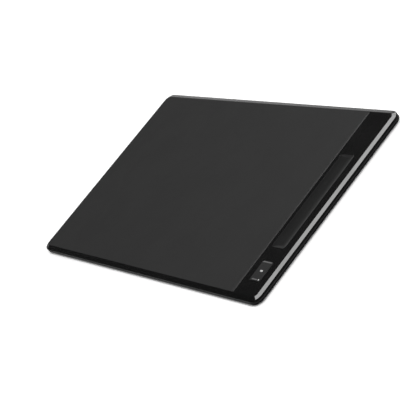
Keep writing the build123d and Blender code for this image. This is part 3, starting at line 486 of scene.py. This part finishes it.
def make_finishes():
    """One material for each of the record's slots."""
    looks = {
        "gloss_shell": dict(colour=grey(0.003), roughness=0.42, specular=0.03, grain_mm=0.35,
                            depth_mm=0.006, wear=0.25, worn=0.04, smudge=0.06, dust=0.03, lines=0.15,
                            matt=0.45, coat=1.0),
        # the satin shell's wall has a painted highlight band along the parting line
        "satin_shell": dict(colour=grey(0.003), roughness=0.45, specular=0.04, depth_mm=0.010,
                            worn=0.05, smudge=0.06, dust=0.1, matt=0.3, rim=parting_highlight_band),
        "drawing_surface": dict(colour=grey(0.020, 0.004), roughness=0.56, shade=0.06, specular=0.2,
                                grain_mm=0.16, depth_mm=0.010, wear=0.2, worn=0.08, smudge=0.04,
                                dust=0.02, lines=0.06, polish=flank_polish),
        "adhesive": dict(colour=(0.75, 0.73, 0.66, 1.0), roughness=0.3, shade=0.05, grain_mm=0.8),
        # the liner's far end wall carries a painted highlight band
        "soft_liner": dict(colour=grey(0.008), roughness=0.55, shade=0.15, specular=0.05, grain_mm=0.22,
                           depth_mm=0.010, wear=0.1, worn=0.05, smudge=0.06, dust=0.04, lines=0.02,
                           sheen=0.08, rim=rest_end_highlight_band),
        "board_green": dict(pattern=traces, roughness=0.32, depth_mm=0.03, wear=0.4, worn=0.3),
        "steel_sheet": dict(pattern=rolled_steel, roughness=0.3, metallic=1.0, depth_mm=0.002, worn=0.6),
        "foam": dict(pattern=foam_cells, roughness=0.9, specular=0.2, depth_mm=0.12, lines=0.0),
        "chip_black": dict(colour=grey(0.02), roughness=0.5, grain_mm=0.12, depth_mm=0.008, worn=0.08),
        "connector_white": dict(colour=(0.75, 0.74, 0.70, 1.0), roughness=0.38, shade=0.04, worn=0.6),
        "connector_black": dict(colour=grey(0.02), roughness=0.42, grain_mm=0.25, worn=0.08),
        "ribbon": dict(pattern=conductors, roughness=0.22, depth_mm=0.02, worn=0.6),
        "bright_steel": dict(colour=grey(0.62), roughness=0.22, shade=0.06, metallic=1.0, grain_mm=0.2,
                             depth_mm=0.002, worn=0.75),
        "ceramic": dict(colour=(0.55, 0.47, 0.36, 1.0), roughness=0.3, shade=0.12, grain_mm=0.1,
                        depth_mm=0.003, worn=0.65),
        # the light windows glow with painted light
        "light_white": dict(colour=(0.85, 0.85, 0.80, 1.0), roughness=0.25, shade=0.04, grain_mm=0.2,
                            worn=0.8, lit=0.4),
        "plunger_grey": dict(colour=grey(0.12), roughness=0.4, grain_mm=0.2, worn=0.2),
        "key_grey": dict(colour=grey(0.015), roughness=0.42, specular=0.25, grain_mm=0.2,
                         depth_mm=0.008, worn=0.06, smudge=0.12, dust=0.04),
        "pale_grey": dict(colour=grey(0.128), roughness=0.42, shade=0.08, specular=0.4, grain_mm=0.2,
                          depth_mm=0.004, worn=0.16),
        # the lens glows faintly with painted light
        "lens_white": dict(colour=grey(0.44), roughness=0.28, shade=0.03, depth_mm=0.002, worn=0.7,
                           dust=0.1, lit=0.06),
        "contact_gold": dict(colour=(0.80, 0.56, 0.22, 1.0), roughness=0.2, shade=0.08, metallic=1.0,
                             grain_mm=0.2, depth_mm=0.002, worn=0.7),
        "screw_black": dict(colour=grey(0.03), roughness=0.36, metallic=0.8, grain_mm=0.15,
                            depth_mm=0.004, wear=0.7, worn=0.35),
        "foot_rubber": dict(colour=grey(0.022), roughness=0.72, shade=0.2, specular=0.3, grain_mm=0.25,
                            depth_mm=0.02, wear=0.4, worn=0.06, dust=0.4, lines=0.0),
    }
    return {name: finish(name, **look) for name, look in looks.items()}


def marks(length, zones, middle_step):
    """Shares from 0 to 1 along a length: close together in the zones at both ends, even between.

    A zone is its reach from the end and its step, the nearest to the end first."""
    near = [np.zeros(1)]
    start = 0.0
    for reach, step in zones:
        near.append(np.linspace(start, reach, round((reach - start) / step) + 1)[1:])
        start = reach
    near = np.concatenate(near)
    middle = np.linspace(start, length - start, round((length - 2 * start) / middle_step) + 1)[1:-1]
    return np.concatenate([near, middle, length - near[::-1]]) / length


def corner_setback(distance, radius):
    """How far a rounded corner draws a side in, at a distance from its end: r - sqrt(r2 - (r-d)2)."""
    short = np.clip(radius - distance, 0.0, radius)
    return radius - np.sqrt(radius ** 2 - short ** 2)


def inside_distance(x, y, low, high, radius):
    """How far a point lies inside a rounded rectangle: r less the length of what passes the arc centres."""
    middle = (low + high) / 2
    half = (high - low) / 2
    past_x = np.abs(x - middle[0]) - half[0] + radius
    past_y = np.abs(y - middle[1]) - half[1] + radius
    outer = np.hypot(np.maximum(past_x, 0), np.maximum(past_y, 0))
    return radius - outer - np.minimum(np.maximum(past_x, past_y), 0)


def edge_drop(distance, radius):
    """How far a rounded edge lies below its flat: r - sqrt(r2 - (r-d)2) within the radius."""
    return corner_setback(np.maximum(distance, 0), radius)


def grid_faces(rows, columns):
    """Four-sided faces of a grid of loops, each loop closed on itself."""
    row = np.arange(rows - 1)[:, None] * columns
    here = np.arange(columns)[None, :]
    after = (here + 1) % columns
    return np.stack([row + here, row + after, row + columns + after, row + columns + here],
                    axis=-1).reshape(-1, 4)


def make_piece(name, points, faces, node, slot, body="housing", sharp=35.0):
    """A smooth-shaded piece from points in millimetres, in place of a CAD node and on its body.

    Edges that turn by more than the sharp angle stay hard."""
    mesh = bpy.data.meshes.new(name)
    mesh.from_pydata((points * MM).tolist(), [], faces)
    mesh.validate()
    mesh.polygons.foreach_set("use_smooth", np.ones(len(mesh.polygons), dtype=bool))
    mesh.set_sharp_from_angle(angle=np.radians(sharp))
    mesh.materials.append(finishes[slot])
    piece = bpy.data.objects.new(name, mesh)
    bpy.context.scene.collection.objects.link(piece)
    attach(piece, body)
    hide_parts(node)


def block_with_top(low, high, corners, x_shares, y_shares, top_of):
    """Points and faces of a block with a shaped top, in millimetres.

    Rows run across at each Y between the rounded outline's two sides. The row over the top and the
    same row on the flat underside make one closed loop; the loops are joined and both ends closed."""
    y = low[1] + (high[1] - low[1]) * y_shares
    end = np.minimum(y - low[1], high[1] - y)
    left = low[0] + corner_setback(end, corners[0])
    right = high[0] - corner_setback(end, corners[1])
    x = left[:, None] + (right - left)[:, None] * x_shares[None, :]
    y = np.broadcast_to(y[:, None], x.shape)
    top = np.stack([x, y, top_of(x, y)], axis=-1)
    under = np.stack([x, y, np.full(x.shape, low[2])], axis=-1)[:, ::-1]
    points = np.concatenate([top, under], axis=1)
    rows, columns = points.shape[:2]
    faces = grid_faces(rows, columns)
    first = np.arange(len(x_shares) - 1)
    cap = np.stack([first, columns - 1 - first, columns - 2 - first, first + 1], axis=-1)
    last = cap[:, ::-1] + (rows - 1) * columns
    return points.reshape(-1, 3), np.concatenate([faces, cap, last]).tolist()


def ring_solid(low, high, corner, profile, steps=14):
    """Points and faces of a solid of rounded rectangles stacked one in another, in millimetres.

    Each row of the profile is how far a ring is drawn in and its height, from the middle of the
    underside outwards, up the side and in again over the top. Both ends close with a flat face."""
    inset, height = profile[:, 0], profile[:, 1]
    half = (high - low)[:2] / 2
    middle = (high + low)[:2] / 2
    radius = np.maximum(corner - inset, smallest_ring_mm)
    quarter = np.linspace(0, np.pi / 2, steps)
    angle = np.concatenate([quarter + turn * np.pi / 2 for turn in range(4)])
    side_x = np.repeat([1.0, -1.0, -1.0, 1.0], steps)
    side_y = np.repeat([1.0, 1.0, -1.0, -1.0], steps)
    centre = np.maximum(half[None, :] - (inset + radius)[:, None], 0)
    x = middle[0] + side_x * centre[:, :1] + np.cos(angle) * radius[:, None]
    y = middle[1] + side_y * centre[:, 1:] + np.sin(angle) * radius[:, None]
    z = np.broadcast_to(height[:, None], x.shape)
    rows, columns = x.shape
    faces = grid_faces(rows, columns).tolist()
    faces.append(list(range(columns))[::-1])
    faces.append([(rows - 1) * columns + i for i in range(columns)])
    return np.stack([x, y, z], axis=-1).reshape(-1, 3), faces


def box_mm(node):
    """A CAD node's lowest and highest corner in millimetres."""
    low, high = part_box(node)
    return np.array(low) / MM, np.array(high) / MM


def make_pen_rest_insert():
    """The soft insert: a round bottom between two rounded rims, with leaning end walls.

    Both arcs of the section turn through the angle 2 atan(depth / half width). An end wall's height
    is its distance from the rounded end over its lean; the highest of the three counts, softly joined,
    and the outer edge is rounded off."""
    low, high = box_mm("pen_rest_liner")
    half = (high[0] - low[0]) / 2
    middle = (high[0] + low[0]) / 2
    bottom = rest_bottom_mm / 2
    turn = 2 * np.arctan(rest_depth_mm / half)
    bottom_radius = bottom / np.sin(turn)
    rim_radius = (half - bottom) / np.sin(turn)

    def top_of(x, y):
        off = np.abs(x - middle)
        from_side = np.clip(half - off, 0, half)
        hollow = -rest_depth_mm + bottom_radius - np.sqrt(bottom_radius ** 2 - np.minimum(off, bottom) ** 2)
        rim = -rim_radius + np.sqrt(rim_radius ** 2 - np.minimum(from_side, half - bottom) ** 2)
        section = np.where(off < bottom, hollow, rim)
        setback = corner_setback(from_side, rest_corner_mm)
        near_wall = -(y - low[1] - setback) / rest_near_lean
        far_wall = -(high[1] - y - setback) / rest_far_lean
        wall = np.maximum(near_wall, far_wall)
        joined = (section + wall + np.sqrt((section - wall) ** 2 + rest_blend_mm ** 2)) / 2
        inside = inside_distance(x, y, low, high, rest_corner_mm)
        return high[2] + np.minimum(joined, 0) - edge_drop(inside, rest_edge_mm)

    across = marks(high[0] - low[0], *rest_across)
    along = marks(high[1] - low[1], *rest_along)
    points, faces = block_with_top(low, high, (rest_corner_mm, rest_corner_mm), across, along, top_of)
    make_piece("pen_rest_insert", points, faces, "pen_rest_liner", "soft_liner")


def make_matt_sheet():
    """The drawing sheet: flat, with finely rounded edges and a flank that runs down to the strip.

    The flank falls by the valley's depth over its width. Its start is soft: half of t + sqrt(t2 + k2),
    where t is the distance past the start and k the crease; a straight fade ends that further in."""
    low, high = box_mm("drawing_sheet")
    corner_line = (low[0] + high[0]) / 2

    def top_of(x, y):
        past = x - (high[0] - sheet_flank_mm)
        flank = (past + np.sqrt(past ** 2 + sheet_crease_mm ** 2)) / 2 * sheet_valley_mm / sheet_flank_mm
        far_left = inside_distance(x, y, low, high, sheet_left_corner_mm)
        far_right = inside_distance(x, y, low, high, sheet_right_corner_mm)
        inside = np.where(x < corner_line, far_left, far_right)
        fade = np.clip((past + sheet_fade_mm) / sheet_fade_mm, 0, 1)
        return high[2] - flank * fade - edge_drop(inside, sheet_edge_mm)

    across = marks(high[0] - low[0], *sheet_across)
    along = marks(high[1] - low[1], *sheet_along)
    corners = (sheet_left_corner_mm, sheet_right_corner_mm)
    points, faces = block_with_top(low, high, corners, across, along, top_of)
    make_piece("matt_drawing_sheet", points, faces, "drawing_sheet", "drawing_surface")


def make_feet():
    """The rubber feet: round-ended pads whose underside has low ridges that follow the outline.

    Below, the height is a cosine of the distance from the edge; the edge is a quarter circle."""
    for name in sorted(frame["nodes"]):
        if not name.startswith("foot_"):
            continue
        low, high = box_mm(name)
        half = (high[1] - low[1]) / 2
        inset = np.linspace(half - foot_rim_mm, foot_edge_mm, foot_rings)
        wave = (1 - np.cos(2 * np.pi * (inset - foot_edge_mm) / foot_ridge_mm)) / 2
        under = np.stack([inset, low[2] + foot_ridge_depth_mm * wave], axis=-1)
        turn = np.linspace(0, np.pi / 2, foot_edge_steps)[1:]
        side = np.stack([foot_edge_mm * (1 - np.sin(turn)), low[2] + foot_edge_mm * (1 - np.cos(turn))],
                        axis=-1)
        over = np.array([[0.0, high[2] - foot_rim_mm], [foot_rim_mm, high[2]],
                         [half - foot_rim_mm, high[2]]])
        profile = np.concatenate([under, side, over])
        points, faces = ring_solid(low, high, half - foot_end_mm, profile)
        make_piece(name + "_pad", points, faces, name, "foot_rubber", sharp=foot_sharp)


def dress_frame():
    """Give every CAD node the finish of its slot."""
    slots = {row["node"]: row["material_slot"] for row in frame["record"]["subparts"]}
    for name, node in frame["nodes"].items():
        for slot in node.material_slots:
            slot.material = finishes[slots[name]]


def set_axes(thing, right, up, back, place):
    """Stand a camera or lamp at a place with its own three axes along these directions."""
    matrix = Matrix.Identity(4)
    for column, axis in enumerate((right, up, back, place)):
        for row in range(3):
            matrix[row][column] = axis[row]
    thing.matrix_world = matrix


def make_camera():
    """The camera looks at its aim point from its azimuth and elevation, then rolls about its own axis."""
    azimuth, elevation, roll = np.radians([camera_azimuth, camera_elevation, camera_roll])
    back = np.array([np.sin(azimuth) * np.cos(elevation), -np.cos(azimuth) * np.cos(elevation),
                     np.sin(elevation)])
    level = np.cross(-back, (0.0, 0.0, 1.0))
    level /= np.linalg.norm(level)
    upright = np.cross(level, -back)
    data = bpy.data.cameras.new("camera")
    data.lens = camera_lens
    data.sensor_width = camera_sensor
    data.clip_start, data.clip_end = camera_clip
    camera = bpy.data.objects.new("camera", data)
    bpy.context.scene.collection.objects.link(camera)
    set_axes(camera, level * np.cos(roll) + upright * np.sin(roll),
             upright * np.cos(roll) - level * np.sin(roll), back,
             np.array(camera_aim) + back * camera_distance)
    bpy.context.scene.camera = camera


def make_softbox(name, place, size, power, along=(0.0, 1.0, 0.0)):
    """A rectangular area light that faces the tablet's middle, its second side along a level line."""
    data = bpy.data.lights.new(name, "AREA")
    data.shape = "RECTANGLE"
    data.size, data.size_y = size
    data.energy = power
    lamp = bpy.data.objects.new(name, data)
    bpy.context.scene.collection.objects.link(lamp)
    away = Vector(place).normalized()
    across = Vector(along).cross(away).normalized()
    set_axes(lamp, across, away.cross(across), away, place)


def ray_factor(tree):
    """One where a camera, glossy or transmission ray looks, and nought for light on other things."""
    path = add(tree, "LightPath")
    both = calc(tree, "MAXIMUM", path.outputs["Is Camera Ray"], path.outputs["Is Glossy Ray"])
    return calc(tree, "MAXIMUM", both, path.outputs["Is Transmission Ray"])


def make_world():
    """White where the camera looks; gloss shows a pale sweep round the horizon under a dark ceiling.

    Only plain grey light falls on things."""
    world = bpy.data.worlds.new("studio")
    world.use_nodes = True
    bpy.context.scene.world = world
    tree = world.node_tree
    tree.nodes.clear()
    place = add(tree, "TexCoord")
    split = add(tree, "SeparateXYZ", {0: place.outputs["Generated"]})
    level = ramp(tree, split.outputs["Z"], sweep_low, sweep_high, horizon_level, dark_ceiling)
    plain = calc(tree, "MAXIMUM", level, add(tree, "LightPath").outputs["Is Camera Ray"])
    seen = add(tree, "Background", {"Color": grey(1.0), "Strength": plain})
    ambient = add(tree, "Background", {"Color": grey(1.0), "Strength": ambient_level})
    mix = add(tree, "MixShader", {0: ray_factor(tree), 1: ambient.outputs[0], 2: seen.outputs[0]})
    add(tree, "OutputWorld", {"Surface": mix.outputs[0]})


def make_floor():
    """A flat pale floor; part of its white is a glow that shadows don't darken, and all of it far out.

    The glow goes by the distance past the rectangle of the tablet's four corner centres. It is left out
    under the tablet, which paints a contact shadow there."""
    corners = [(x * floor_half, y * floor_half, 0) for x, y in ((-1, -1), (1, -1), (1, 1), (-1, 1))]
    mesh = bpy.data.meshes.new("studio_floor")
    mesh.from_pydata(corners, [], [(0, 1, 2, 3)])
    floor = bpy.data.objects.new("studio_floor", mesh)
    bpy.context.scene.collection.objects.link(floor)
    material, tree = new_material("studio_floor")
    lit = add(tree, "BsdfDiffuse", {"Color": grey(floor_albedo)})
    place = add(tree, "TexCoord").outputs["Object"]
    inner = (cad_high[0] - outline_radius, cad_high[1] - outline_radius, 0.0)
    past = add(tree, "VectorMath", {0: place}, operation="ABSOLUTE").outputs[0]
    past = add(tree, "VectorMath", {0: past, 1: inner}, operation="SUBTRACT").outputs[0]
    past = add(tree, "VectorMath", {0: past, 1: (0.0, 0.0, 0.0)}, operation="MAXIMUM").outputs[0]
    reach = add(tree, "VectorMath", {0: past}, operation="LENGTH").outputs["Value"]
    # No glow under the tablet: a painted contact shadow
    level = calc(tree, "ADD", ramp(tree, reach, *painted_shadow_edge, 0.0, floor_glow),
                 ramp(tree, reach, *glow_far, 0.0, 1.0 - floor_glow))
    glow = add(tree, "Emission", {"Strength": level})
    total = add(tree, "AddShader", {0: lit.outputs[0], 1: glow.outputs[0]})
    mix = add(tree, "MixShader", {0: ray_factor(tree), 1: lit.outputs[0], 2: total.outputs[0]})
    add(tree, "OutputMaterial", {"Surface": mix.outputs[0]})
    mesh.materials.append(material)


bpy.context.scene.view_settings.view_transform = "Standard"
make_camera()
make_world()
make_floor()
make_softbox("top_softbox", top_box_place, top_box_size, top_box_power)
make_softbox("corner_softbox", corner_box_place, corner_box_size, corner_box_power, corner_box_along)
make_softbox("side_softbox", side_box_place, side_box_size, side_box_power)
finishes = make_finishes()
dress_frame()
make_pen_rest_insert()
make_matt_sheet()
make_feet()
